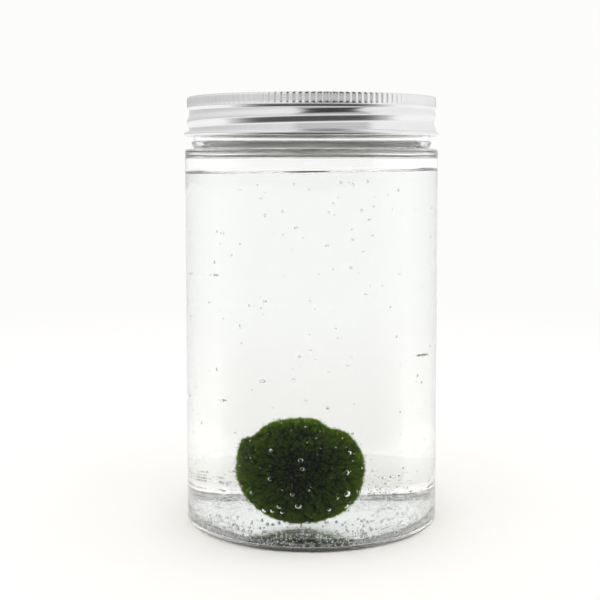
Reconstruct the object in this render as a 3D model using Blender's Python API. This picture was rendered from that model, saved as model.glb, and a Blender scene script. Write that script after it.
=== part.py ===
# Moss ball in a clear screw-top jar of water.
# Metres, +Z up. The jar stands on z = 0 with its axis on the Z axis.
# The lid closes the jar at rest and turns counter-clockwise, seen from above, to open.

import math

import bmesh
import bpy
from mathutils import Matrix, Vector

mm = 0.001

# Driving dimensions
bodyDiameter = 85.0 * mm
totalHeight = 142.3 * mm
wall = 0.9 * mm
gap = 0.3 * mm
threadLead = 5.08 * mm
waterLevel = 117.3 * mm
ballDiameter = 36.8 * mm
ballPlace = Vector((-3.1 * mm, -12.0 * mm, 0.0))

# Jar, worked out from the driving dimensions
bodyRadius = bodyDiameter / 2
heelRadius = 1.4 * mm
standInner = 33.5 * mm
pushUpRadius = 29.5 * mm
standOuter = bodyRadius - heelRadius
pushUp = 0.7 * mm
floorThickness = 0.8 * mm
floorHeight = pushUp + floorThickness
shoulderHeight = 125.0 * mm
shoulderRound = 0.8 * mm
shoulderInnerHeight = 123.9 * mm
shoulderInnerRound = 2.3 * mm
neckStart = 125.3 * mm
neckRadius = 39.6 * mm
neckWall = 1.8 * mm
lipRound = 0.4 * mm
ringHeight = 126.5 * mm
ringReach = 0.7 * mm
ringHalfWidth = 1.2 * mm

# Thread ridge on the neck
ridgeReach = 0.55 * mm
ridgeHalfBase = 1.1 * mm
ridgeHalfTop = 0.45 * mm
ridgeTurns = 1.1
ridgeStartHeight = 131.2 * mm
ridgeSunk = 0.6 * mm

# Lid
lidBottom = 129.2 * mm
lidInner = 40.6 * mm
lidRecess = 41.1 * mm
beadReach = 0.75 * mm
beadHalfWidth = 2.4 * mm
beadStartHeight = 130.6 * mm
beadTurns = 1.25
beadStartAngle = math.radians(-60)
knurlRadius = 41.75 * mm
knurlBottom = 138.3 * mm
rimRound = 0.8 * mm
curlRadius = 42.8 * mm
curlHeight = 1.6 * mm
panelThickness = 0.8 * mm
panelRecess = 0.6 * mm
panelRadius = 38.8 * mm
panelStep = 0.6 * mm
hemChamfer = 0.4 * mm
threadRows = 9

# Liner, between the jar's lip and the lid's panel
linerRadius = 40.1 * mm
linerThickness = 0.9 * mm
linerTop = totalHeight - panelRecess - panelThickness - gap
linerBottom = linerTop - linerThickness
neckTop = linerBottom - gap

roundSegments = 48
smoothAngle = math.radians(35)
tolerance = 0.002 * mm


def clearScene():
    for thing in list(bpy.data.objects):
        bpy.data.objects.remove(thing, do_unlink=True)


def makeMaterial(name, colour, roughness, metallic=0.0, transmission=0.0, ior=1.45):
    material = bpy.data.materials.new(name)
    material.use_nodes = True
    shader = material.node_tree.nodes["Principled BSDF"]
    shader.inputs["Base Color"].default_value = (*colour, 1.0)
    shader.inputs["Roughness"].default_value = roughness
    shader.inputs["Metallic"].default_value = metallic
    shader.inputs["Transmission Weight"].default_value = transmission
    shader.inputs["IOR"].default_value = ior
    return material


def arc(centre, radius, start, end, steps):
    # Points (r, z) on a round stretch of a profile, angles in degrees from +r towards +z.
    points = []
    for i in range(steps + 1):
        angle = math.radians(start + (end - start) * i / steps)
        points.append((centre[0] + radius * math.cos(angle), centre[1] + radius * math.sin(angle)))
    return points


def turnedMesh(points, segments=roundSegments):
    # Turns a closed half section around the Z axis.
    bm = bmesh.new()
    verts = [bm.verts.new((r, 0.0, z)) for r, z in points]
    edges = [bm.edges.new(pair) for pair in zip(verts, verts[1:])]
    if points[0][0] > 0.0 or points[-1][0] > 0.0:
        edges.append(bm.edges.new((verts[-1], verts[0])))
    bmesh.ops.spin(
        bm,
        geom=verts + edges,
        axis=(0, 0, 1),
        angle=math.tau,
        steps=segments,
        use_merge=True,
    )
    bmesh.ops.remove_doubles(bm, verts=bm.verts, dist=tolerance)
    bmesh.ops.recalc_face_normals(bm, faces=bm.faces)
    return bm


def addObject(name, bm, material):
    mesh = bpy.data.meshes.new(name)
    bm.to_mesh(mesh)
    bm.free()
    mesh.materials.append(material)
    mesh.shade_smooth()
    mesh.set_sharp_from_angle(angle=smoothAngle)
    thing = bpy.data.objects.new(name, mesh)
    bpy.context.collection.objects.link(thing)
    return thing


def addHelper(name, bm):
    # A shape that only cuts or joins another one.
    mesh = bpy.data.meshes.new(name)
    bm.to_mesh(mesh)
    bm.free()
    thing = bpy.data.objects.new(name, mesh)
    thing.hide_render = True
    thing.display_type = "WIRE"
    bpy.context.collection.objects.link(thing)
    return thing


def addBoolean(thing, helper, operation):
    modifier = thing.modifiers.new(helper.name, "BOOLEAN")
    modifier.operation = operation
    modifier.object = helper


def innerProfile(inset):
    # The jar's inside below the neck, floor centre outwards, moved into the hollow by inset.
    innerRadius = bodyRadius - wall - inset
    floor = floorHeight + inset
    rise = floorThickness + inset
    heel = heelRadius - wall
    points = [(0.0, floor), (pushUpRadius, floor), (standInner, rise)]
    points += arc((innerRadius - heel, rise + heel), heel, -90, 0, 5)
    return points


def bump(distance, halfWidth):
    # Rounded hump with a height of 1 at distance 0 and of 0 from halfWidth on.
    if abs(distance) >= halfWidth:
        return 0.0
    return 0.5 + 0.5 * math.cos(math.pi * distance / halfWidth)


def makeJar(material):
    outer = [(0.0, pushUp), (pushUpRadius, pushUp), (standInner, 0.0)]
    outer += arc((standOuter, heelRadius), heelRadius, -90, 0, 6)
    outer += arc((bodyRadius - shoulderRound, shoulderHeight - shoulderRound), shoulderRound, 0, 65, 2)
    outer.append((neckRadius, neckStart))
    for step in range(-2, 3):
        height = ringHeight + step * ringHalfWidth / 3
        outer.append((neckRadius + ringReach * bump(step, 3), height))
    outer.append((neckRadius, ringHeight + ringHalfWidth))
    neckInner = neckRadius - neckWall
    outer += arc((neckRadius - lipRound, neckTop - lipRound), lipRound, 0, 90, 2)
    lip = arc((neckInner + lipRound, neckTop - lipRound), lipRound, 90, 180, 2)
    inner = innerProfile(0.0)
    cornerRadius = bodyRadius - wall - shoulderInnerRound
    cornerHeight = shoulderInnerHeight - shoulderInnerRound
    inner += arc((cornerRadius, cornerHeight), shoulderInnerRound, 0, 90, 2)
    inner.append((neckInner, neckStart))
    jar = addObject("jar", turnedMesh(outer + lip + inner[::-1]), material)
    addBoolean(jar, makeThreadRidge(), "UNION")
    return jar


def makeThreadRidge():
    # Right-hand ridge that sinks into the neck at both ends.
    bm = bmesh.new()
    steps = round(roundSegments * ridgeTurns)
    rings = []
    for i in range(steps + 1):
        turn = i / roundSegments
        angle = math.tau * turn + 0.5 * math.tau / roundSegments
        height = ridgeStartHeight + threadLead * turn
        fade = min(1.0, 5.0 * min(turn, ridgeTurns - turn) + 0.05)
        reach = (ridgeReach + 0.2 * mm) * fade - 0.2 * mm
        section = [
            (-ridgeSunk, -ridgeHalfBase),
            (reach, -ridgeHalfTop),
            (reach, ridgeHalfTop),
            (-ridgeSunk, ridgeHalfBase),
        ]
        turned = Matrix.Rotation(angle, 3, "Z")
        rings.append([bm.verts.new(turned @ Vector((neckRadius + r, 0, height + z))) for r, z in section])
    for low, high in zip(rings, rings[1:]):
        for k in range(4):
            bm.faces.new((low[k], low[(k + 1) % 4], high[(k + 1) % 4], high[k]))
    bm.faces.new(rings[0])
    bm.faces.new(rings[-1])
    bmesh.ops.recalc_face_normals(bm, faces=bm.faces)
    return addHelper("thread_ridge", bm)


def beadHeights(angle):
    # Heights of the lid's rolled thread at an angle around the axis, one for each turn.
    turn = ((angle - beadStartAngle) % math.tau) / math.tau
    heights = []
    while turn < beadTurns:
        fade = min(1.0, 8.0 * min(turn, beadTurns - turn))
        heights.append((beadStartHeight + threadLead * turn, fade))
        turn += 1.0
    return heights


def makeLid(material):
    curlMid = lidBottom + curlHeight / 2
    threadLow = lidBottom + curlHeight + gap
    threadHigh = knurlBottom - gap
    panelTop = totalHeight - panelRecess
    section = [(0.0, panelTop), (panelRadius - panelStep, panelTop), (panelRadius, totalHeight)]
    section += arc((knurlRadius - rimRound, totalHeight - rimRound), rimRound, 90, 0, 3)
    section.append((knurlRadius, knurlBottom))
    for i in range(threadRows):
        section.append((lidRecess, threadHigh + (threadLow - threadHigh) * i / (threadRows - 1)))
    section += arc((curlRadius - curlHeight / 2, curlMid), curlHeight / 2, 70, -90, 5)
    section.append((lidInner + hemChamfer, lidBottom))
    section.append((lidInner, lidBottom + hemChamfer))
    section.append((lidInner, panelTop - panelThickness))
    section.append((0.0, panelTop - panelThickness))
    bm = turnedMesh(section)
    for vert in bm.verts:
        radius = vert.co.xy.length
        if abs(radius - lidRecess) > tolerance:
            continue
        reach = 0.0
        for height, fade in beadHeights(math.atan2(vert.co.y, vert.co.x)):
            reach = max(reach, beadReach * fade * bump(vert.co.z - height, beadHalfWidth))
        vert.co.xy *= (lidRecess + reach) / radius
    return addObject("lid", bm, material)


def makeLiner(material):
    edge = 0.2 * mm
    section = [
        (0.0, linerTop),
        (linerRadius - edge, linerTop),
        (linerRadius, linerTop - edge),
        (linerRadius, linerBottom + edge),
        (linerRadius - edge, linerBottom),
        (0.0, linerBottom),
    ]
    return addObject("liner", turnedMesh(section), material)


# Sides of the moss ball that bulge, or lie low where negative: direction, height and spread
lobes = [
    (Vector((-0.82, 0.05, 0.52)), 1.6 * mm, 0.26),
    (Vector((-0.95, -0.20, -0.05)), 0.3 * mm, 0.45),
    (Vector((-0.10, 0.10, 1.00)), -0.3 * mm, 0.50),
    (Vector((0.90, -0.20, 0.10)), 0.3 * mm, 0.50),
    (Vector((0.76, -0.15, -0.64)), 0.8 * mm, 0.35),
    (Vector((0.30, 0.90, 0.25)), 0.8 * mm, 0.60),
    (Vector((-0.55, 0.70, -0.30)), 0.5 * mm, 0.50),
]

# The groove under the ball's upper lobe, from the back on the left, across the front, to the back
# on the right, and a short one on the right side
groove = [
    Vector((-0.66, 0.45, 0.58)),
    Vector((-0.74, 0.13, 0.66)),
    Vector((-0.65, -0.24, 0.72)),
    Vector((-0.47, -0.49, 0.74)),
    Vector((-0.25, -0.63, 0.73)),
    Vector((0.00, -0.67, 0.74)),
    Vector((0.20, -0.61, 0.77)),
    Vector((0.42, -0.36, 0.83)),
    Vector((0.49, 0.17, 0.86)),
    Vector((0.45, 0.52, 0.72)),
]
grooveDepth = 1.9 * mm
grooveSpread = 0.13
sideGroove = [Vector((0.75, 0.50, -0.35)), Vector((0.85, 0.30, -0.20))]
sideGrooveDepth = 0.7 * mm
sideGrooveSpread = 0.22
grooveSteps = 4


def alongGroove(stations):
    # Fills in directions between the stations, so that the groove is even.
    path = []
    for near, far in zip(stations, stations[1:]):
        for step in range(grooveSteps):
            path.append(near.normalized().slerp(far.normalized(), step / grooveSteps))
    return path + [stations[-1].normalized()]


groovePaths = [
    (alongGroove(groove), grooveDepth, grooveSpread),
    (alongGroove(sideGroove), sideGrooveDepth, sideGrooveSpread),
]


def lumpRadius(direction):
    # Distance from the ball's middle to its surface in a direction.
    radius = ballDiameter / 2
    for axis, height, spread in lobes:
        radius += height * math.exp(-((direction.angle(axis) / spread) ** 2))
    for path, depth, spread in groovePaths:
        nearest = math.acos(min(1.0, max(direction.dot(station) for station in path)))
        radius -= depth * math.exp(-((nearest / spread) ** 2))
    return radius


def ballShape(offset):
    # The ball's outer surface at the tips of its strands, moved outwards by offset.
    bm = bmesh.new()
    bmesh.ops.create_icosphere(bm, subdivisions=4, radius=1.0)
    for vert in bm.verts:
        direction = vert.co.normalized()
        vert.co = direction * (lumpRadius(direction) + offset)
    return bm


def placeBall(bm, low):
    # Sets the ball, whose lowest point is at low, on the jar's floor.
    lift = floorHeight + gap - low
    bmesh.ops.translate(bm, verts=bm.verts, vec=ballPlace + Vector((0, 0, lift)))


def makeMossBall(material):
    bm = ballShape(0.0)
    low = min(vert.co.z for vert in bm.verts)
    placeBall(bm, low)
    return addObject("moss_ball", bm, material), low


def makeWater(material, ballLow):
    # Fills the jar up to the water level, with a pocket for the ball that is open below it.
    section = innerProfile(gap)
    section.append((bodyRadius - wall - gap, waterLevel))
    section.append((0.0, waterLevel))
    water = addObject("water", turnedMesh(section), material)
    pocket = ballShape(1.2 * gap)
    placeBall(pocket, ballLow)
    for vert in pocket.verts:
        if vert.co.z < floorHeight + 3 * gap:
            vert.co.z -= 6 * gap
    addBoolean(water, addHelper("ball_pocket", pocket), "DIFFERENCE")
    return water


clearScene()
makeJar(makeMaterial("clear_plastic", (0.97, 0.98, 0.97), 0.03, transmission=1.0, ior=1.57))
mossBall, mossLow = makeMossBall(makeMaterial("moss", (0.06, 0.16, 0.01), 0.9))
makeWater(makeMaterial("clear_water", (0.98, 1.0, 0.99), 0.0, transmission=1.0, ior=1.333), mossLow)
makeLid(makeMaterial("aluminium", (0.82, 0.82, 0.83), 0.3, metallic=1.0))
makeLiner(makeMaterial("foam", (0.86, 0.86, 0.84), 0.8))
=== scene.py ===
# Moss ball in a clear screw-top jar of water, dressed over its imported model
import math

import bpy
import numpy as np
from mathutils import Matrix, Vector
from mathutils.bvhtree import BVHTree
from mathutils.kdtree import KDTree


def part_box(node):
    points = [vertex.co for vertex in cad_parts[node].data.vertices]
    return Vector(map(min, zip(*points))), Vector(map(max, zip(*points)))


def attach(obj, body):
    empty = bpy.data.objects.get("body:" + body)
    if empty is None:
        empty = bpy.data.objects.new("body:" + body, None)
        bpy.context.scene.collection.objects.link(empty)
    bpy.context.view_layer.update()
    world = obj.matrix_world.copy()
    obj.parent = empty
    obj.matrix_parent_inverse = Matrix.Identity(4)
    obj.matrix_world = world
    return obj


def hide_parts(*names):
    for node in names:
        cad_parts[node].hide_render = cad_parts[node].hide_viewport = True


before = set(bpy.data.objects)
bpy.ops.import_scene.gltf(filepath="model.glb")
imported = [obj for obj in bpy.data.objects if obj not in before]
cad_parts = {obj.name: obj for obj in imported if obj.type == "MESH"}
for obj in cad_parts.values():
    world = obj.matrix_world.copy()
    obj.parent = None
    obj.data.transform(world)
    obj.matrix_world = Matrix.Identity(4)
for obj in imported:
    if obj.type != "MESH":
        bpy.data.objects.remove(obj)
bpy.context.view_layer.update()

mm = 0.001

jarLow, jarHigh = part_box("jar")
lidLow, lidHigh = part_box("lid")
linerLow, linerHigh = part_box("liner")
waterLow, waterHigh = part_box("water")
ballLow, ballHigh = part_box("moss_ball")

bodyRadius = jarHigh.x
ballCentre = (ballLow + ballHigh) / 2
threadLead = 5.08 * mm


# Small helpers that work as a person at the mesh tools would

def startPiece(name, material):
    piece = bpy.context.object
    piece.name = name
    piece.data.name = name
    piece.data.materials.clear()
    piece.data.materials.append(material)
    return piece


def deselectAll():
    if bpy.context.mode != "OBJECT":
        bpy.ops.object.mode_set(mode="OBJECT")
    bpy.ops.object.select_all(action="DESELECT")


def pickOnly(piece):
    deselectAll()
    piece.select_set(True)
    bpy.context.view_layer.objects.active = piece


def pickPoints(piece, wanted):
    # Opens edit mode with only these vertices selected
    pickOnly(piece)
    mesh = piece.data
    mesh.polygons.foreach_set("select", np.zeros(len(mesh.polygons), dtype=bool))
    mesh.edges.foreach_set("select", np.zeros(len(mesh.edges), dtype=bool))
    mesh.vertices.foreach_set("select", wanted)
    bpy.ops.object.mode_set(mode="EDIT")


def widenPoints(piece, wanted, factor):
    # Scales these vertices away from the jar's axis
    pickPoints(piece, wanted)
    bpy.ops.transform.resize(value=(factor, factor, 1), center_override=(0, 0, 0))
    bpy.ops.object.mode_set(mode="OBJECT")


def turnProfile(name, points, turns, material, smooth=40):
    # Draws a half section point by point, then spins it about the jar's axis
    deselectAll()
    first = Vector((points[0][0], 0, points[0][1]))
    bpy.ops.mesh.primitive_plane_add(size=mm, location=first)
    piece = startPiece(name, material)
    bpy.ops.object.transform_apply(location=True, rotation=True, scale=True)
    bpy.ops.object.mode_set(mode="EDIT")
    bpy.ops.mesh.select_all(action="SELECT")
    bpy.ops.mesh.merge(type="CENTER")
    for (r0, z0), (r1, z1) in zip(points, points[1:]):
        bpy.ops.mesh.extrude_vertices_move(
            TRANSFORM_OT_translate={"value": (r1 - r0, 0, z1 - z0)}
        )
    bpy.ops.mesh.select_all(action="SELECT")
    bpy.ops.mesh.spin(
        steps=turns, angle=math.tau, center=(0, 0, 0), axis=(0, 0, 1), use_auto_merge=True
    )
    bpy.ops.mesh.select_all(action="SELECT")
    bpy.ops.mesh.remove_doubles(threshold=0.003 * mm)
    bpy.ops.mesh.normals_make_consistent(inside=False)
    bpy.ops.object.mode_set(mode="OBJECT")
    bpy.ops.object.shade_smooth_by_angle(angle=math.radians(smooth))
    return piece


def arcPoints(centre, radius, start, end, steps):
    # Round stretch of a section, in degrees from outwards towards up
    angles = [math.radians(start + (end - start) * i / steps) for i in range(steps + 1)]
    return [(centre[0] + radius * math.cos(a), centre[1] + radius * math.sin(a)) for a in angles]


def rowPoints(radius, start, end, steps):
    # Evenly spaced points on an upright stretch, both ends included
    return [(radius, start + (end - start) * i / steps) for i in range(steps + 1)]


def holdCorners(points, away=0.25 * mm):
    # Adds points close to both ends of each long stretch, so that smooth shading leaves it straight
    held = [points[0]]
    for start, end in zip(points, points[1:]):
        length = math.dist(start, end)
        if length > 4 * away:
            share = away / length
            for near in (share, 1 - share):
                held.append(tuple(a + (b - a) * near for a, b in zip(start, end)))
        held.append(end)
    return held


def readPlaces(piece):
    places = np.empty(len(piece.data.vertices) * 3)
    piece.data.vertices.foreach_get("co", places)
    return places.reshape(-1, 3)


def writePlaces(piece, places):
    piece.data.vertices.foreach_set("co", places.ravel())
    piece.data.update()


def hump(distance, halfWidth):
    # 1 in the middle, 0 from halfWidth on, round in between
    share = np.clip(np.abs(distance) / halfWidth, 0, 1)
    return 0.5 + 0.5 * np.cos(math.pi * share)


def smoothStep(value, low, high):
    share = np.clip((value - low) / (high - low), 0, 1)
    return share * share * (3 - 2 * share)


def pressThread(piece, wanted, shape):
    # Moves the wanted vertices outwards along a one-start right-hand thread
    places = readPlaces(piece)
    angles = np.arctan2(places[:, 1], places[:, 0])
    first = ((angles - math.radians(shape["startAngle"])) % math.tau) / math.tau
    reach = np.zeros(len(places))
    for turn in (first, first + 1):
        fade = np.clip(shape["fade"] * np.minimum(turn, shape["turns"] - turn), 0, 1)
        away = places[:, 2] - shape["start"] - threadLead * turn
        reach = np.maximum(reach, shape["reach"] * fade * hump(away, shape["halfWidth"]))
    radius = np.hypot(places[:, 0], places[:, 1])
    factor = np.where(wanted, (radius + reach) / np.maximum(radius, mm), 1)
    places[:, :2] *= factor[:, None]
    writePlaces(piece, places)


def radiusOf(places):
    return np.hypot(places[:, 0], places[:, 1])


# Material helpers

def newMaterial(name, colour, roughness, metallic=0.0, transmission=0.0, ior=1.45):
    material = bpy.data.materials.new(name)
    material.use_nodes = True
    shader = material.node_tree.nodes["Principled BSDF"]
    shader.inputs["Base Color"].default_value = (*colour, 1)
    shader.inputs["Roughness"].default_value = roughness
    shader.inputs["Metallic"].default_value = metallic
    shader.inputs["Transmission Weight"].default_value = transmission
    shader.inputs["IOR"].default_value = ior
    return material, shader


def addNode(tree, kind, **values):
    node = tree.nodes.new(kind)
    for name, value in values.items():
        if hasattr(node, name):
            setattr(node, name, value)
        else:
            node.inputs[name].default_value = value
    return node


def makeGrainGroup():
    # Noise stretched along the piece, brought to a chosen range
    group = bpy.data.node_groups.new("stretched grain", "ShaderNodeTree")
    for name, kind in (("Vector", "NodeSocketVector"), ("Stretch", "NodeSocketVector"),
                       ("Fineness", "NodeSocketFloat"), ("Low", "NodeSocketFloat"),
                       ("High", "NodeSocketFloat")):
        group.interface.new_socket(name=name, in_out="INPUT", socket_type=kind)
    group.interface.new_socket(name="Value", in_out="OUTPUT", socket_type="NodeSocketFloat")
    source = group.nodes.new("NodeGroupInput")
    result = group.nodes.new("NodeGroupOutput")
    scale = group.nodes.new("ShaderNodeVectorMath")
    scale.operation = "MULTIPLY"
    noise = group.nodes.new("ShaderNodeTexNoise")
    noise.inputs["Detail"].default_value = 5
    noise.inputs["Roughness"].default_value = 0.6
    spread = group.nodes.new("ShaderNodeMapRange")
    spread.inputs["From Min"].default_value = 0.3
    spread.inputs["From Max"].default_value = 0.7
    link = group.links.new
    link(source.outputs["Vector"], scale.inputs[0])
    link(source.outputs["Stretch"], scale.inputs[1])
    link(scale.outputs[0], noise.inputs["Vector"])
    link(source.outputs["Fineness"], noise.inputs["Scale"])
    link(noise.outputs["Fac"], spread.inputs["Value"])
    link(source.outputs["Low"], spread.inputs["To Min"])
    link(source.outputs["High"], spread.inputs["To Max"])
    link(spread.outputs["Result"], result.inputs["Value"])
    return group


grainGroup = makeGrainGroup()


def softBetween(tree, value, low, high, soft):
    # 1 between low and high, with soft edges
    rising = tree.nodes.new("ShaderNodeMapRange")
    rising.interpolation_type = "SMOOTHSTEP"
    rising.inputs["From Min"].default_value = low - soft
    rising.inputs["From Max"].default_value = low + soft
    falling = tree.nodes.new("ShaderNodeMapRange")
    falling.interpolation_type = "SMOOTHSTEP"
    falling.inputs["From Min"].default_value = high + soft
    falling.inputs["From Max"].default_value = high - soft
    both = tree.nodes.new("ShaderNodeMath")
    both.operation = "MULTIPLY"
    tree.links.new(value, rising.inputs["Value"])
    tree.links.new(value, falling.inputs["Value"])
    tree.links.new(rising.outputs["Result"], both.inputs[0])
    tree.links.new(falling.outputs["Result"], both.inputs[1])
    return both.outputs["Value"]


def mathNode(tree, operation, first, second):
    node = tree.nodes.new("ShaderNodeMath")
    node.operation = operation
    for socket, value in zip(node.inputs, (first, second)):
        if isinstance(value, (int, float)):
            socket.default_value = value
        else:
            tree.links.new(value, socket)
    return node.outputs["Value"]


def mixTone(tree, share, first, second, blend="MIX"):
    # Goes from the first colour to the second one, or multiplies them
    node = tree.nodes.new("ShaderNodeMix")
    node.data_type = "RGBA"
    node.blend_type = blend
    for name, value in (("Factor", share), ("A", first), ("B", second)):
        if isinstance(value, (int, float)):
            node.inputs[name].default_value = value
        elif isinstance(value, tuple):
            node.inputs[name].default_value = (*value, 1)
        else:
            tree.links.new(value, node.inputs[name])
    return node.outputs["Result"]


def mixShader(tree, share, first, second):
    node = tree.nodes.new("ShaderNodeMixShader")
    if isinstance(share, (int, float)):
        node.inputs["Fac"].default_value = share
    else:
        tree.links.new(share, node.inputs["Fac"])
    tree.links.new(first, node.inputs[1])
    tree.links.new(second, node.inputs[2])
    return node.outputs["Shader"]


def axisPart(tree, vector, axis):
    split = tree.nodes.new("ShaderNodeSeparateXYZ")
    tree.links.new(vector, split.inputs[0])
    return split.outputs[axis]


def lengthOf(tree, vector):
    node = tree.nodes.new("ShaderNodeVectorMath")
    node.operation = "LENGTH"
    tree.links.new(vector, node.inputs[0])
    return node.outputs["Value"]


def bouncedShare(tree, path):
    # 1 for a ray that was reflected or scattered on its way, 0 for one that came straight through.
    # A straight one enters as often as it leaves, and light through a moss strand adds one crossing.
    depth = mathNode(tree, "ADD", path.outputs["Glossy Depth"], path.outputs["Diffuse Depth"])
    odd = mathNode(tree, "MODULO", path.outputs["Transmission Depth"], 2)
    return mathNode(tree, "MINIMUM", mathNode(tree, "ADD", depth, odd), 1)


def addGrain(tree, vector, stretch, fineness, low, high):
    node = tree.nodes.new("ShaderNodeGroup")
    node.node_tree = grainGroup
    node.inputs["Stretch"].default_value = stretch
    node.inputs["Fineness"].default_value = fineness
    node.inputs["Low"].default_value = low
    node.inputs["High"].default_value = high
    tree.links.new(vector, node.inputs["Vector"])
    return node.outputs["Value"]


def objectPlace(tree):
    return tree.nodes.new("ShaderNodeTexCoord").outputs["Object"]


below = -9  # lower than any value that a soft band is asked about


def addBump(tree, height, strength, distance, shader):
    bump = tree.nodes.new("ShaderNodeBump")
    bump.inputs["Strength"].default_value = strength
    bump.inputs["Distance"].default_value = distance
    tree.links.new(height, bump.inputs["Height"])
    tree.links.new(bump.outputs["Normal"], shader.inputs["Normal"])
    return bump


# Clear plastic: blown wall with slow waves, slightly uneven gloss

plasticFinish = {
    "tint": (0.985, 0.992, 0.988),
    "ior": 1.57,
    "gloss": (0.004, 0.03),
    "baseTo": 1.2 * mm,  # the underside of the base ends here
    "stipple": 0.4,  # extra roughness of the underside
    "haze": 0.8,  # how milky its thick middle is
    "hazeTo": 37 * mm,
    "hazeThrough": 0.8,
    "hazeColour": (0.88, 0.89, 0.88),
    "waveFineness": 70,
    "waveDistance": 0.05 * mm,
}


def makePlastic(values):
    material, shader = newMaterial(
        "clear plastic", values["tint"], values["gloss"][0], transmission=1.0, ior=values["ior"]
    )
    tree = material.node_tree
    place = objectPlace(tree)
    gloss = addGrain(tree, place, (1, 1, 0.4), 180, *values["gloss"])
    facing = axisPart(tree, tree.nodes.new("ShaderNodeTexCoord").outputs["Normal"], "Z")
    down = softBetween(tree, facing, below, -0.5, 0.2)
    low = softBetween(tree, axisPart(tree, place, "Z"), below, values["baseTo"], 0.2 * mm)
    under = mathNode(tree, "MULTIPLY", down, low)
    stippled = mathNode(tree, "MULTIPLY", under, values["stipple"])
    tree.links.new(mathNode(tree, "ADD", gloss, stippled), shader.inputs["Roughness"])
    waves = addGrain(tree, place, (1, 1, 0.25), values["waveFineness"], 0, 1)
    addBump(tree, waves, 0.35, values["waveDistance"], shader)
    inside = softBetween(tree, lengthOf(tree, place), below, values["hazeTo"], 3 * mm)
    milky = mathNode(tree, "MULTIPLY", mathNode(tree, "MULTIPLY", under, inside), values["haze"])
    spread = addNode(tree, "ShaderNodeBsdfDiffuse", Color=(*values["hazeColour"], 1))
    through = addNode(tree, "ShaderNodeBsdfTranslucent", Color=(*values["hazeColour"], 1))
    cloudy = mixShader(tree, values["hazeThrough"], spread.outputs["BSDF"], through.outputs["BSDF"])
    both = mixShader(tree, milky, shader.outputs["BSDF"], cloudy)
    tree.links.new(both, tree.nodes["Material Output"].inputs["Surface"])
    return material


def makeWater():
    material, shader = newMaterial(
        "clear water", (0.996, 1.0, 0.997), 0.0, transmission=1.0, ior=1.333
    )
    tree = material.node_tree
    ripple = addGrain(tree, objectPlace(tree), (1, 1, 1), 40, 0, 1)
    addBump(tree, ripple, 0.1, 0.02 * mm, shader)
    return material


# Aluminium: rolled sheet with fine streaks round the skirt and across the top

metalFinish = {
    "colour": (0.91, 0.91, 0.915),
    "dulled": (0.86, 0.86, 0.87),
    "roughness": (0.13, 0.24),
    "streakFineness": 1.0,
    "roundTheSkirt": (25, 25, 2600),
    "acrossTheTop": (2600, 25, 25),
}


def makeMetal(values):
    material, shader = newMaterial("satin aluminium", values["colour"], 0.2, metallic=1.0)
    tree = material.node_tree
    place = objectPlace(tree)
    low, high = values["roughness"]
    skirt = addGrain(tree, place, values["roundTheSkirt"], values["streakFineness"], low, high)
    panel = addGrain(tree, place, values["acrossTheTop"], values["streakFineness"], low, high)
    onTop = tree.nodes.new("ShaderNodeMapRange")
    onTop.inputs["From Min"].default_value = lidHigh.z - 1.0 * mm
    onTop.inputs["From Max"].default_value = lidHigh.z - 0.6 * mm
    tree.links.new(axisPart(tree, place, "Z"), onTop.inputs["Value"])
    blend = tree.nodes.new("ShaderNodeMix")
    tree.links.new(onTop.outputs["Result"], blend.inputs["Factor"])
    tree.links.new(skirt, blend.inputs["A"])
    tree.links.new(panel, blend.inputs["B"])
    tree.links.new(blend.outputs["Result"], shader.inputs["Roughness"])
    addBump(tree, blend.outputs["Result"], 0.25, 0.04 * mm, shader)
    patches = addGrain(tree, place, (1, 1, 3), 60, 0, 1)
    tone = mixTone(tree, patches, values["colour"], values["dulled"])
    tree.links.new(tone, shader.inputs["Base Color"])
    return material


foamFinish = {
    "shaded": (0.62, 0.62, 0.60),
    "pale": (0.80, 0.80, 0.77),
    "roughness": 0.8,
    "cellFineness": 2600,
}


def makeFoam(values):
    material, shader = newMaterial("pale foam", values["pale"], values["roughness"])
    tree = material.node_tree
    place = objectPlace(tree)
    cells = tree.nodes.new("ShaderNodeTexVoronoi")
    cells.inputs["Scale"].default_value = values["cellFineness"]
    tree.links.new(place, cells.inputs["Vector"])
    addBump(tree, cells.outputs["Distance"], 0.5, 0.1 * mm, shader)
    patches = addGrain(tree, place, (1, 1, 1), 500, 0, 1)
    tone = mixTone(tree, patches, values["shaded"], values["pale"])
    tree.links.new(tone, shader.inputs["Base Color"])
    return material


# Moss: green at the tips, darkened towards the roots as painted shade deep in the coat, with light
# passing through the strands

mossFinish = {
    # root is painted shade: near black, in place of the shade deep in the dense coat; middle and tip are
    # the moss's own green
    "root": (0.003, 0.009, 0.003),
    "middle": (0.05, 0.125, 0.009),
    "tip": (0.40, 0.86, 0.03),
    "through": (0.66, 0.98, 0.05),
    "throughShare": 0.8,
    "middleAt": 0.6,  # share of the coat's depth, from the roots
    "toneFrom": 0.6,  # strands differ from each other by this much
    "toneTo": 1.3,
}


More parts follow.
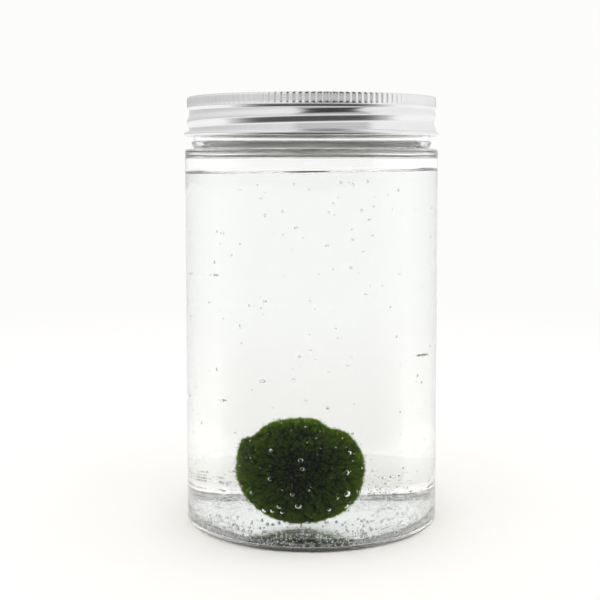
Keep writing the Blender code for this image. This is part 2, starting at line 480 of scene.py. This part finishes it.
def makeStrandMaterial(values):
    material, shader = newMaterial("moss strands", values["tip"], 0.55)
    tree = material.node_tree
    rise = addNode(tree, "ShaderNodeAttribute", attribute_name="rise")
    tint = addNode(tree, "ShaderNodeAttribute", attribute_name="tint")
    # Colour by depth in the coat, from the painted shade at the roots to the green tips
    ramp = tree.nodes.new("ShaderNodeValToRGB")
    ramp.color_ramp.elements[0].color = (*values["root"], 1)
    ramp.color_ramp.elements[1].color = (*values["tip"], 1)
    middle = ramp.color_ramp.elements.new(values["middleAt"])
    middle.color = (*values["middle"], 1)
    tree.links.new(rise.outputs["Fac"], ramp.inputs["Fac"])
    shade = tree.nodes.new("ShaderNodeMapRange")
    shade.inputs["To Min"].default_value = values["toneFrom"]
    shade.inputs["To Max"].default_value = values["toneTo"]
    tree.links.new(tint.outputs["Fac"], shade.inputs["Value"])
    tone = mixTone(tree, 1, ramp.outputs["Color"], shade.outputs["Result"], "MULTIPLY")
    tree.links.new(tone, shader.inputs["Base Color"])
    shader.inputs["Specular IOR Level"].default_value = 0.03
    through = tree.nodes.new("ShaderNodeBsdfTranslucent")
    # Light through the strands also fades to the painted shade of the roots
    light = mixTone(tree, rise.outputs["Fac"], values["root"], values["through"])
    tree.links.new(light, through.inputs["Color"])
    both = mixShader(tree, values["throughShare"], shader.outputs["BSDF"], through.outputs["BSDF"])
    tree.links.new(both, tree.nodes["Material Output"].inputs["Surface"])
    return material


def makeCoreMaterial(values):
    material, shader = newMaterial("moss core", values["root"], 0.95)
    shader.inputs["Specular IOR Level"].default_value = 0.02
    tree = material.node_tree
    place = objectPlace(tree)
    patches = addGrain(tree, place, (1, 1, 1), 900, -0.2, 0.9)
    # The core is coloured in the painted shade of the roots, in random patches with the darker green
    tone = mixTone(tree, patches, values["root"], values["middle"])
    tree.links.new(tone, shader.inputs["Base Color"])
    addBump(tree, addGrain(tree, place, (1, 1, 1), 2500, 0, 1), 0.6, 0.3 * mm, shader)
    return material


clearPlastic = makePlastic(plasticFinish)
clearWater = makeWater()
satinMetal = makeMetal(metalFinish)
paleFoam = makeFoam(foamFinish)
mossStrand = makeStrandMaterial(mossFinish)
mossCore = makeCoreMaterial(mossFinish)
print("materials mixed")


# Camera, at the photo's viewing angle

camera = {
    "distance": 402 * mm,
    "height": 122.4 * mm,
    "tilt": 3.8,  # degrees down
    "focal": 1186,  # in pixels of the picture
    "horizonRow": 157.1,
    "axisColumn": 311.5,
    "picture": 600,
    "sensor": 36,
}


def buildCamera(values):
    tilt = math.radians(values["tilt"])
    middleRow = values["horizonRow"] + values["focal"] * math.tan(tilt)
    data = bpy.data.cameras.new("camera")
    data.sensor_width = values["sensor"]
    data.lens = values["focal"] / values["picture"] * values["sensor"]
    data.shift_y = (middleRow - values["picture"] / 2) / values["picture"]
    data.shift_x = (values["picture"] / 2 - values["axisColumn"]) / values["picture"]
    thing = bpy.data.objects.new("camera", data)
    thing.location = (0, -values["distance"], values["height"])
    thing.rotation_euler = (math.pi / 2 - tilt, 0, 0)
    bpy.context.collection.objects.link(thing)
    bpy.context.scene.camera = thing
    print("camera placed")


# Jar

jarShape = {
    "wall": 0.8 * mm,
    "heel": 1.4 * mm,
    "innerHeel": 2.2 * mm,
    "ringInner": 33.5 * mm,
    "pushUpRadius": 29.5 * mm,
    "pushUp": 0.7 * mm,
    "floor": 0.8 * mm,
    "shoulder": 125.0 * mm,
    "shoulderRound": 0.8 * mm,
    "innerShoulder": 124.2 * mm,
    "innerRound": 2.2 * mm,
    "neckStart": 125.3 * mm,
    "neckRadius": 39.6 * mm,
    "neckWall": 1.8 * mm,
    "lip": 0.4 * mm,
    "ringHeight": 126.5 * mm,
    "ringReach": 0.7 * mm,
    "ringHalfWidth": 1.2 * mm,
    "baseRings": 2.3 * mm,
    "ringDepth": 0.09 * mm,
    "turns": 160,
}

neckThread = {
    "start": 131.2 * mm,
    "startAngle": 3.75,
    "turns": 1.1,
    "reach": 0.55 * mm,
    "halfWidth": 1.1 * mm,
    "fade": 5,
}


def buildJar(values):
    heel = values["heel"]
    inner = values["innerHeel"]
    wall = values["wall"]
    shoulder = values["shoulder"]
    rounding = values["shoulderRound"]
    neck = values["neckRadius"]
    neckInner = neck - values["neckWall"]
    lip = values["lip"]
    ring = values["ringHeight"]
    halfRing = values["ringHalfWidth"]
    top = jarHigh.z
    points = [(0, values["pushUp"])]
    for radius in np.arange(8 * mm, bodyRadius - heel, values["baseRings"] / 4):
        rise = values["pushUp"] * (1 - smoothStep(radius, values["pushUpRadius"], values["ringInner"]))
        wave = 0.5 - 0.5 * math.cos(math.tau * radius / values["baseRings"])
        points.append((float(radius), float(rise + values["ringDepth"] * wave)))
    points += arcPoints((bodyRadius - heel, heel), heel, -90, 0, 8)
    points += arcPoints((bodyRadius - rounding, shoulder - rounding), rounding, 0, 65, 6)
    points.append((neck, ring - halfRing))
    for step in range(1, 9):
        out = math.sin(step / 8 * math.pi / 2)
        points.append((neck + values["ringReach"] * out, ring + halfRing * (-1 + 1.75 * step / 8)))
    points.append((neck + 0.6 * values["ringReach"], ring + 0.92 * halfRing))
    points.append((neck, ring + halfRing))
    points += rowPoints(neck, ring + halfRing + 0.4 * mm, top - lip - 0.3 * mm, 28)
    points += arcPoints((neck - lip, top - lip), lip, 0, 90, 4)
    points += arcPoints((neckInner + lip, top - lip), lip, 90, 180, 4)
    corner = values["innerRound"]
    points += [(neckInner, values["neckStart"] + 0.6 * mm), (neckInner + 0.3 * mm, values["neckStart"])]
    points += arcPoints((bodyRadius - wall - corner, values["innerShoulder"] - corner), corner, 90, 0, 8)
    points += arcPoints((bodyRadius - wall - inner, values["floor"] + inner), inner, 0, -90, 10)
    points += [(values["ringInner"], values["floor"])]
    floor = values["pushUp"] + values["floor"]
    points += [(values["pushUpRadius"], floor), (0, floor)]
    jar = turnProfile("jar_shell", holdCorners(points), values["turns"], clearPlastic)
    places = readPlaces(jar)
    threaded = (places[:, 2] > ring + halfRing) & (radiusOf(places) > neck - 0.1 * mm)
    pressThread(jar, threaded, neckThread)
    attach(jar, "jar")
    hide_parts("jar")
    print("jar turned")
    return jar


# Water, with the air bubbles as hollows in it

waterShape = {
    "overlap": 0.3 * mm,
    "meniscus": 0.9 * mm,
    "tilt": 0.75,  # degrees, higher on the right, as photographed
    "turns": 160,
}


def buildWater(values, jar):
    outer = bodyRadius - jar["wall"] + values["overlap"]
    heel = jar["innerHeel"]
    low = jar["floor"] - values["overlap"]
    level = waterHigh.z
    rise = values["meniscus"]
    points = [(0, jar["pushUp"] + low), (jar["pushUpRadius"], jar["pushUp"] + low)]
    points += [(jar["ringInner"], low)]
    points += arcPoints((outer - heel, low + heel), heel, -90, 0, 10)
    points += [(outer, level - 8 * mm), (outer, level + rise), (outer - values["overlap"], level + rise)]
    points += [(outer - 0.8 * mm, level + 0.5 * rise), (outer - 1.4 * mm, level + 0.25 * rise)]
    points += [(outer - 2.4 * mm, level + 0.08 * rise), (outer - 5 * mm, level), (0, level)]
    water = turnProfile("water_body", holdCorners(points), values["turns"], clearWater)
    places = readPlaces(water)
    upper = smoothStep(places[:, 2], level - 7 * mm, level - 1 * mm)
    places[:, 2] += places[:, 0] * math.tan(math.radians(values["tilt"])) * upper
    writePlaces(water, places)
    bubbles = blowBubbles(bubbleShape, jar, level)
    pickOnly(water)
    for bubble in bubbles:
        bubble.select_set(True)
    bpy.context.view_layer.objects.active = water
    bpy.ops.object.join()
    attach(water, "jar")
    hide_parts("water")
    print("water filled with", len(bubbles), "bubbles")
    return water


bubbleShape = {
    "seed": 11,
    "onWall": 260,
    "onWallSize": (0.2 * mm, 0.6 * mm),
    "atHeel": 1900,
    "atHeelSize": (0.24 * mm, 0.58 * mm),
    "onFloor": 700,
    "onFloorSize": (0.2 * mm, 0.5 * mm),
    "onMoss": 240,
    "onMossSize": (0.12 * mm, 0.3 * mm),
    "tinyTo": 0.3 * mm,  # up to this radius a bubble has few faces
}

# Larger bubbles on the side of the ball that the photo shows: right, up, radius,
# the first two as shares of the ball's half width and half height
silverBubbles = [
    (0.00, 0.17, 0.80), (0.02, 0.03, 0.70), (-0.48, -0.15, 0.72), (-0.13, -0.40, 0.72),
    (-0.04, -0.60, 0.98), (-0.29, -0.33, 0.40), (-0.34, -0.62, 0.75), (-0.44, -0.70, 0.65),
    (-0.29, -0.72, 0.55), (-0.56, -0.70, 0.70), (0.74, 0.30, 0.62), (0.71, -0.04, 0.78),
    (0.71, -0.40, 1.05), (0.69, -0.61, 0.70), (0.44, -0.67, 0.56), (0.40, -0.84, 0.60),
    (0.72, -0.70, 0.35), (0.57, -0.47, 0.40),
]


def bubbleStart(name, divisions):
    # One hollow: a ball whose faces point to its own centre
    deselectAll()
    bpy.ops.mesh.primitive_ico_sphere_add(subdivisions=divisions, radius=1, location=(0, 0, 0))
    bubble = startPiece(name, clearWater)
    bpy.ops.object.mode_set(mode="EDIT")
    bpy.ops.mesh.select_all(action="SELECT")
    bpy.ops.mesh.flip_normals()
    bpy.ops.object.mode_set(mode="OBJECT")
    bpy.ops.object.shade_smooth()
    return bubble


def surfaceTree(node):
    mesh = node.data
    corners = [vertex.co for vertex in mesh.vertices]
    return BVHTree.FromPolygons(corners, [list(face.vertices) for face in mesh.polygons])


ballSurface = surfaceTree(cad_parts["moss_ball"])


def surfaceReach(directions):
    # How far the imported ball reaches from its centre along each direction
    return np.array([ballSurface.ray_cast(ballCentre, Vector(way))[3] for way in directions])


def towardsPhoto(right, up, elevation=11):
    # Direction on the ball for a place in the picture, seen from a little above
    lean = math.radians(elevation)
    near = math.sqrt(max(0.02, 1 - right * right - up * up))
    towards = Vector((0, -math.cos(lean), math.sin(lean)))
    upwards = Vector((0, math.sin(lean), math.cos(lean)))
    return (Vector((right, 0, 0)) + up * upwards + near * towards).normalized()


def blowBubbles(values, jar, level):
    chance = np.random.default_rng(values["seed"])
    wallInner = bodyRadius - jar["wall"]
    floor = jar["floor"]
    spots = []

    def sizeFrom(limits):
        low, high = limits
        return low + (high - low) * chance.random() ** 1.7

    def keep(place, size):
        for other, otherSize in spots[-900:]:
            if (other - place).length < size + otherSize:
                return
        spots.append((place, size))

    for right, up, size in silverBubbles:
        direction = towardsPhoto(right, up)
        reach = surfaceReach([direction])[0]
        spots.append((ballCentre + direction * (reach - 0.1 * size * mm), size * mm))
    for _ in range(values["onMoss"]):
        direction = Vector(chance.normal(size=3)).normalized()
        size = sizeFrom(values["onMossSize"])
        reach = surfaceReach([direction])[0]
        place = ballCentre + direction * (reach - 0.1 * mm)
        if place.z > floor + 2 * mm:
            keep(place, size)
    for _ in range(values["onWall"]):
        angle = chance.uniform(0, math.tau)
        height = floor + 3 * mm + (level - 6 * mm) * chance.random()
        size = sizeFrom(values["onWallSize"])
        radius = wallInner - size - 0.02 * mm
        keep(Vector((radius * math.cos(angle), radius * math.sin(angle), height)), size)
    for _ in range(values["atHeel"]):
        angle = chance.uniform(0, math.tau)
        size = sizeFrom(values["atHeelSize"])
        swing = math.radians(chance.uniform(-80, 0))
        inner = jar["innerHeel"] - size - 0.02 * mm
        radius = wallInner - jar["innerHeel"] + inner * math.cos(swing)
        height = floor + jar["innerHeel"] + inner * math.sin(swing) + 8 * mm * chance.random() ** 3
        keep(Vector((radius * math.cos(angle), radius * math.sin(angle), height)), size)
    for _ in range(values["onFloor"]):
        angle = chance.uniform(0, math.tau)
        size = sizeFrom(values["onFloorSize"])
        radius = math.sqrt(chance.uniform(0.35, 1)) * (wallInner - jar["innerHeel"])
        lift = jar["pushUp"] * (1 - smoothStep(radius, jar["pushUpRadius"], jar["ringInner"]))
        height = floor + lift + size + 0.05 * mm
        keep(Vector((radius * math.cos(angle), radius * math.sin(angle), height)), size)

    names = ("bubble_large", "bubble_small", "bubble_tiny")
    starts = [bubbleStart(name, divisions) for name, divisions in zip(names, (3, 2, 1))]
    bubbles = []
    for number, (place, size) in enumerate(spots):
        start = starts[1] if size > values["tinyTo"] else starts[2]
        if number < len(silverBubbles):
            start = starts[0]
        bubble = start.copy()
        bubble.data = start.data.copy()
        bubble.location = place
        bubble.scale = (size, size, size)
        bpy.context.collection.objects.link(bubble)
        bubbles.append(bubble)
    for start in starts:
        bpy.data.objects.remove(start)
    return bubbles


# Lid

lidShape = {
    "flutes": 134,
    "fluteDepth": 0.34 * mm,
    "fluteLow": 139.1 * mm,
    "knurlRadius": 41.75 * mm,
    "knurlBottom": 138.6 * mm,
    "recess": 41.1 * mm,
    "rimRound": 0.8 * mm,
    "panelRadius": 38.8 * mm,
    "panelRecess": 0.6 * mm,
    "panelStep": 0.5 * mm,
    "sheet": 0.8 * mm,
    "curlHeight": 1.6 * mm,
    "inner": 40.6 * mm,
}

lidThread = {
    "start": 130.6 * mm,
    "startAngle": -60,
    "turns": 1.25,
    "reach": 0.75 * mm,
    "halfWidth": 2.4 * mm,
    "fade": 8,
}


def buildLid(values):
    top = lidHigh.z
    low = lidLow.z
    curl = values["curlHeight"] / 2
    panelTop = top - values["panelRecess"]
    panel = values["panelRadius"]
    step = values["panelStep"]
    knurl = values["knurlRadius"]
    rim = values["rimRound"]
    recess = values["recess"]
    points = [(0, panelTop), (panel - 2 * step, panelTop)]
    points += arcPoints((panel - 2 * step, panelTop + 0.3 * mm), 0.3 * mm, -60, -20, 2)
    points += arcPoints((panel + 0.3 * mm, top - 0.3 * mm), 0.3 * mm, 150, 90, 3)
    points += arcPoints((knurl - rim, top - rim), rim, 90, 0, 6)
    points += [(knurl, 140.6 * mm), (knurl, 139.9 * mm), (knurl, values["fluteLow"])]
    points += [(knurl, values["fluteLow"] - 0.15 * mm)]
    points += arcPoints((knurl - 0.5 * mm, values["knurlBottom"] + 0.1 * mm), 0.5 * mm, 0, -60, 4)
    skirtEnd = low + values["curlHeight"] + 0.25 * mm
    points += rowPoints(recess, values["knurlBottom"] - 0.7 * mm, skirtEnd, 24)
    points += arcPoints((lidHigh.x - curl, low + curl), curl, 120, -90, 12)
    points += [(values["inner"] + 0.4 * mm, low), (values["inner"], low + 0.4 * mm)]
    points += [(values["inner"], panelTop - values["sheet"]), (0, panelTop - values["sheet"])]
    lid = turnProfile("lid_shell", holdCorners(points), 4 * values["flutes"], satinMetal, smooth=50)
    places = readPlaces(lid)
    radius = radiusOf(places)
    skirt = (np.abs(radius - recess) < 0.02 * mm) & (places[:, 2] < values["knurlBottom"])
    pressThread(lid, skirt, lidThread)
    places = readPlaces(lid)
    angles = np.arctan2(places[:, 1], places[:, 0])
    column = np.rint(angles / math.tau * 4 * values["flutes"]).astype(int) % 4
    fluted = (places[:, 2] > values["fluteLow"] - 0.01 * mm) & (radius > knurl - 0.35 * mm)
    depth = values["fluteDepth"] / knurl
    widenPoints(lid, fluted & (column == 0), 1 - depth)
    widenPoints(lid, fluted & (column % 2 == 1), 1 - 0.45 * depth)
    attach(lid, "lid")
    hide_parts("lid")
    print("lid turned, threaded and fluted")
    return lid


# Moss ball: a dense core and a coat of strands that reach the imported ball's surface

mossShape = {
    "coat": 3.2 * mm,
    "coreDivisions": 6,
    "coreRough": 0.35 * mm,
    "strandPieces": 4,
    "strandsEach": 60000,
    "width": 0.08 * mm,
    "thinning": 0.8,
    "lean": 0.45 * mm,
    "tufts": 3000,
    "tuftWidth": 0.4 * mm,
    "tuftReach": 0.8 * mm,
    "gather": 0.45,
    "seed": 5,
}


def swirl(directions, fineness, phase):
    # Slowly changing sideways pull that gathers the strands in tufts
    turned = np.roll(directions, 1, axis=1) * fineness + phase
    crossed = np.roll(directions, 2, axis=1) * fineness * 1.3 - phase
    return np.sin(turned) + np.cos(crossed)


def buildMossCore(values):
    deselectAll()
    bpy.ops.mesh.primitive_ico_sphere_add(
        subdivisions=values["coreDivisions"], radius=10 * mm, location=ballCentre
    )
    core = startPiece("moss_core", mossCore)
    bpy.ops.object.transform_apply(location=True, rotation=True, scale=True)
    places = readPlaces(core) - np.array(ballCentre)
    directions = places / np.linalg.norm(places, axis=1)[:, None]
    reach = surfaceReach(directions)
    rough = values["coreRough"] * swirl(directions, 16, 0.7).sum(axis=1) / 6
    rough += 0.5 * values["coreRough"] * swirl(directions, 41, 2.1).sum(axis=1) / 6
    writePlaces(core, np.array(ballCentre) + directions * (reach - values["coat"] + rough)[:, None])
    bpy.ops.object.shade_smooth()
    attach(core, "jar")
    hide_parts("moss_ball")
    print("moss core shaped")


def strandMesh(name, corners, rise, tint):
    # Five corners and three faces for each strand
    count = len(corners)
    order = np.array([0, 1, 3, 0, 3, 2, 2, 3, 4])
    loops = (np.arange(count)[:, None] * 5 + order[None, :]).ravel()
    mesh = bpy.data.meshes.new(name)
    mesh.vertices.add(5 * count)
    mesh.vertices.foreach_set("co", corners.ravel())
    mesh.loops.add(len(loops))
    mesh.loops.foreach_set("vertex_index", loops)
    mesh.polygons.add(3 * count)
    mesh.polygons.foreach_set("loop_start", np.arange(0, 9 * count, 3))
    mesh.update(calc_edges=True)
    mesh.attributes.new("rise", "FLOAT", "POINT").data.foreach_set("value", rise.ravel())
    mesh.attributes.new("tint", "FLOAT", "POINT").data.foreach_set("value", tint.ravel())
    mesh.materials.append(mossStrand)
    return mesh


def nearestTufts(directions, tree):
    return np.array([tree.find(Vector(way))[0] for way in directions])


def buildStrands(values):
    chance = np.random.default_rng(values["seed"])
    tuftTree = KDTree(values["tufts"])
    for number, way in enumerate(chance.normal(size=(values["tufts"], 3))):
        tuftTree.insert(Vector(way).normalized(), number)
    tuftTree.balance()
    radius = (ballHigh - ballLow).x / 2
    count = values["strandsEach"]
    centre = np.array(ballCentre)
    for part in range(values["strandPieces"]):
        turn = math.tau * (part + chance.random(count)) / values["strandPieces"]
        height = chance.uniform(-1, 1, count)
        flat = np.sqrt(1 - height * height)
        directions = np.stack([flat * np.cos(turn), flat * np.sin(turn), height], axis=1)
        reach = surfaceReach(directions)
        toTuft = (nearestTufts(directions, tuftTree) - directions) * radius
        away = np.linalg.norm(toTuft, axis=1)
        clump = 0.5 + 0.5 * np.sin(swirl(directions, 13, 0.4).sum(axis=1) * 2)
        short = values["coat"] * (0.22 * chance.random(count) ** values["thinning"] + 0.04 * clump)
        short += values["tuftReach"] * (1 - np.exp(-((away / values["tuftWidth"]) ** 2)))
        root = centre + directions * (reach - values["coat"] - 0.15 * mm)[:, None]
        pull = 0.3 * swirl(directions, 9, 0.2) + 0.45 * swirl(directions, 41, 4.0)
        pull += chance.normal(scale=0.4, size=(count, 3))
        pull -= directions * (pull * directions).sum(axis=1)[:, None]
        pull = pull * values["lean"] + toTuft * values["gather"]
        tip = centre + directions * (reach - short)[:, None] + pull
        over = np.linalg.norm(tip - centre, axis=1) - reach
        tip -= directions * np.maximum(over, 0)[:, None]
        middle = 0.5 * (root + tip) - 0.18 * pull
        along = tip - root
        side = np.cross(along, chance.normal(size=(count, 3)))
        side *= 0.5 * values["width"] / np.linalg.norm(side, axis=1)[:, None]
        corners = np.stack([root - side, root + side, middle - side, middle + side, tip], axis=1)
        # rise, the height in the coat, sets how much painted shade a strand gets towards its root
        height = 1 - short / values["coat"]
        rise = height[:, None] * np.array([0.0, 0.0, 0.5, 0.5, 1.0])
        tint = np.repeat(chance.random(count), 5)
        name = "moss_strands_%d" % (part + 1)
        strands = bpy.data.objects.new(name, strandMesh(name, corners, rise, tint))
        bpy.context.collection.objects.link(strands)
        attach(strands, "jar")
        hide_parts("moss_ball")
    print("moss strands grown", values["strandPieces"] * count)


# Floor, light and surround

stage = {
    "floorHalf": 4.0,
    "floorColour": (0.905, 0.88, 0.856),
    "backdrop": (0.98, 0.977, 0.967),
    "fadeFrom": 0.11,  # the floor turns into the backdrop between these distances
    "fadeTo": 0.6,
    "clearBackdrop": (1.11, 1.108, 1.1),  # what shows through the jar
    "mossLight": (9.5, 9.5, 8.8),  # what lights the ball through the water
    # Painted glow: the floor glows where it is seen through the jar, and much more under it, in place of
    # light reaching the floor under the jar
    "throughGlow": (0.07, 0.07, 0.07),  # glow of the floor seen through the jar
    "underGlow": (0.60, 0.55, 0.61),  # and of the floor under it
    "underTo": 46 * mm,
    "lighting": (1.275, 1.285, 1.3),
    "leftTone": 0.62,  # what reflections see on the left and on the right of the jar
    "rightTone": 0.95,
    "aboveTone": 0.9,
    "darkLeft": -12,  # degrees from straight in front, seen from the jar
    "darkRight": 52,
    "darkHigh": 70,
    "darkTone": 0.04,
    # In front of the jar the floor is painted black for reflections and for light reaching the ball
    # through the water: a painted dark reflection and painted shade, in place of the dark end of the
    # studio
    "darkFrom": 30 * mm,  # the same on the floor, from here to there
    "darkSoft": 15 * mm,
    "darkTo": 0.42,
    "greyLow": -14,
    "greyHigh": 32,
    "greyTone": 0.5,
    "frontWidth": 1.3,  # radians to each side that give the ball no light
    "frontSoft": 0.5,
    "frontHigh": 45,
    "frontTone": 0.015,
}


def buildFloor(values):
    deselectAll()
    bpy.ops.mesh.primitive_plane_add(size=2 * values["floorHalf"], location=(0, 0, 0))
    paleFloor, shader = newMaterial("pale floor", values["floorColour"], 1.0)
    shader.inputs["Specular IOR Level"].default_value = 0
    tree = paleFloor.node_tree
    place = objectPlace(tree)
    away = lengthOf(tree, place)
    fade = tree.nodes.new("ShaderNodeMapRange")
    fade.interpolation_type = "SMOOTHSTEP"
    fade.inputs["From Min"].default_value = values["fadeFrom"]
    fade.inputs["From Max"].default_value = values["fadeTo"]
    tree.links.new(away, fade.inputs["Value"])
    # Painted dark reflection and painted shade: the floor in front turns black for reflections close by
    # and for bounced light that reaches the ball through the water, while the camera still sees it pale
    depth = axisPart(tree, place, "Y")
    front = softBetween(tree, depth, below, -values["darkFrom"], values["darkSoft"])
    towards = mathNode(tree, "MULTIPLY", depth, -1)
    turn = mathNode(tree, "ARCTAN2", axisPart(tree, place, "X"), towards)
    wide = softBetween(tree, turn, -values["frontWidth"], values["frontWidth"], values["frontSoft"])
    close = softBetween(tree, away, below, values["darkTo"], 0.5 * values["darkTo"])
    path = tree.nodes.new("ShaderNodeLightPath")
    through = path.outputs["Is Transmission Ray"]
    shine = mathNode(tree, "SUBTRACT", path.outputs["Is Glossy Ray"], through)
    shine = mathNode(tree, "MULTIPLY", mathNode(tree, "MAXIMUM", shine, 0), close)
    veiled = mathNode(tree, "MULTIPLY", through, bouncedShare(tree, path))
    unlit = mathNode(tree, "MULTIPLY", wide, mathNode(tree, "MAXIMUM", shine, veiled))
    unlit = mathNode(tree, "MULTIPLY", front, unlit)
    # Painted glow of the floor, faint near the jar and strong under it, seen only through the jar
    under = softBetween(tree, away, below, values["underTo"], 8 * mm)
    glow = mixTone(tree, under, values["throughGlow"], values["underGlow"])
    glow = mixTone(tree, through, (0, 0, 0), glow)
    black = (values["darkTone"],) * 3
    tone = mixTone(tree, fade.outputs["Result"], values["floorColour"], (0, 0, 0))
    tree.links.new(mixTone(tree, unlit, tone, black), shader.inputs["Base Color"])
    ends = mixTone(tree, through, values["backdrop"], values["clearBackdrop"])
    tone = mixTone(tree, fade.outputs["Result"], glow, ends)
    tree.links.new(mixTone(tree, unlit, tone, black), shader.inputs["Emission Color"])
    shader.inputs["Emission Strength"].default_value = 1
    floor = startPiece("floor", paleFloor)


def buildSurround(values):
    # White all round, with the dark end of the studio in front, which only reflections see
    world = bpy.data.worlds.new("white surround")
    world.use_nodes = True
    tree = world.node_tree
    light = tree.nodes["Background"]
    way = tree.nodes.new("ShaderNodeTexCoord").outputs["Generated"]
    right = axisPart(tree, way, "X")
    up = axisPart(tree, way, "Z")
    turn = mathNode(tree, "ARCTAN2", right, mathNode(tree, "MULTIPLY", axisPart(tree, way, "Y"), -1))
    rise = mathNode(tree, "ARCSINE", up, 0)
    across = softBetween(tree, turn, *np.radians((values["darkLeft"], values["darkRight"])), 0.12)
    level = softBetween(tree, rise, *np.radians((values["greyLow"], values["greyHigh"])), 0.08)
    under = softBetween(tree, rise, below, math.radians(values["darkHigh"]), 0.08)
    side = tree.nodes.new("ShaderNodeMapRange")
    side.interpolation_type = "SMOOTHSTEP"
    side.inputs["From Min"].default_value = -1
    side.inputs["From Max"].default_value = 1
    side.inputs["To Min"].default_value = values["leftTone"]
    side.inputs["To Max"].default_value = values["rightTone"]
    tree.links.new(right, side.inputs["Value"])
    steep = mathNode(tree, "MULTIPLY", mathNode(tree, "ABSOLUTE", up, 0), 1.4)
    steep = mathNode(tree, "MINIMUM", steep, 1)
    shine = mixTone(tree, steep, side.outputs["Result"], (values["aboveTone"],) * 3)
    black = (values["darkTone"],) * 3
    grey = (values["greyTone"],) * 3
    shine = mixTone(tree, mathNode(tree, "MULTIPLY", across, under), shine, black)
    shine = mixTone(tree, mathNode(tree, "MULTIPLY", across, level), shine, grey)
    wide = softBetween(tree, turn, -values["frontWidth"], values["frontWidth"], values["frontSoft"])
    low = softBetween(tree, rise, below, math.radians(values["frontHigh"]), 0.3)
    path = tree.nodes.new("ShaderNodeLightPath")
    lit = mathNode(tree, "MINIMUM", path.outputs["Diffuse Depth"], 1)
    clear = mixTone(tree, lit, values["clearBackdrop"], values["mossLight"])
    unlit = mathNode(tree, "MULTIPLY", wide, low)
    unlit = mathNode(tree, "MULTIPLY", unlit, bouncedShare(tree, path))
    clear = mixTone(tree, unlit, clear, (values["frontTone"],) * 3)
    tone = mixTone(tree, path.outputs["Is Transmission Ray"], shine, clear)
    tone = mixTone(tree, path.outputs["Is Diffuse Ray"], tone, values["lighting"])
    tone = mixTone(tree, path.outputs["Is Camera Ray"], tone, values["backdrop"])
    tree.links.new(tone, light.inputs["Color"])
    bpy.context.scene.world = world
    print("stage set")


def setRender():
    scene = bpy.context.scene
    scene.view_settings.view_transform = "Standard"
    scene.cycles.max_bounces = 32
    scene.cycles.transmission_bounces = 32
    scene.cycles.glossy_bounces = 16


buildCamera(camera)
buildJar(jarShape)
buildWater(waterShape, jarShape)
buildLid(lidShape)
buildMossCore(mossShape)
buildStrands(mossShape)
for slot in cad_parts["liner"].material_slots:
    slot.material = paleFoam
buildFloor(stage)
buildSurround(stage)
setRender()
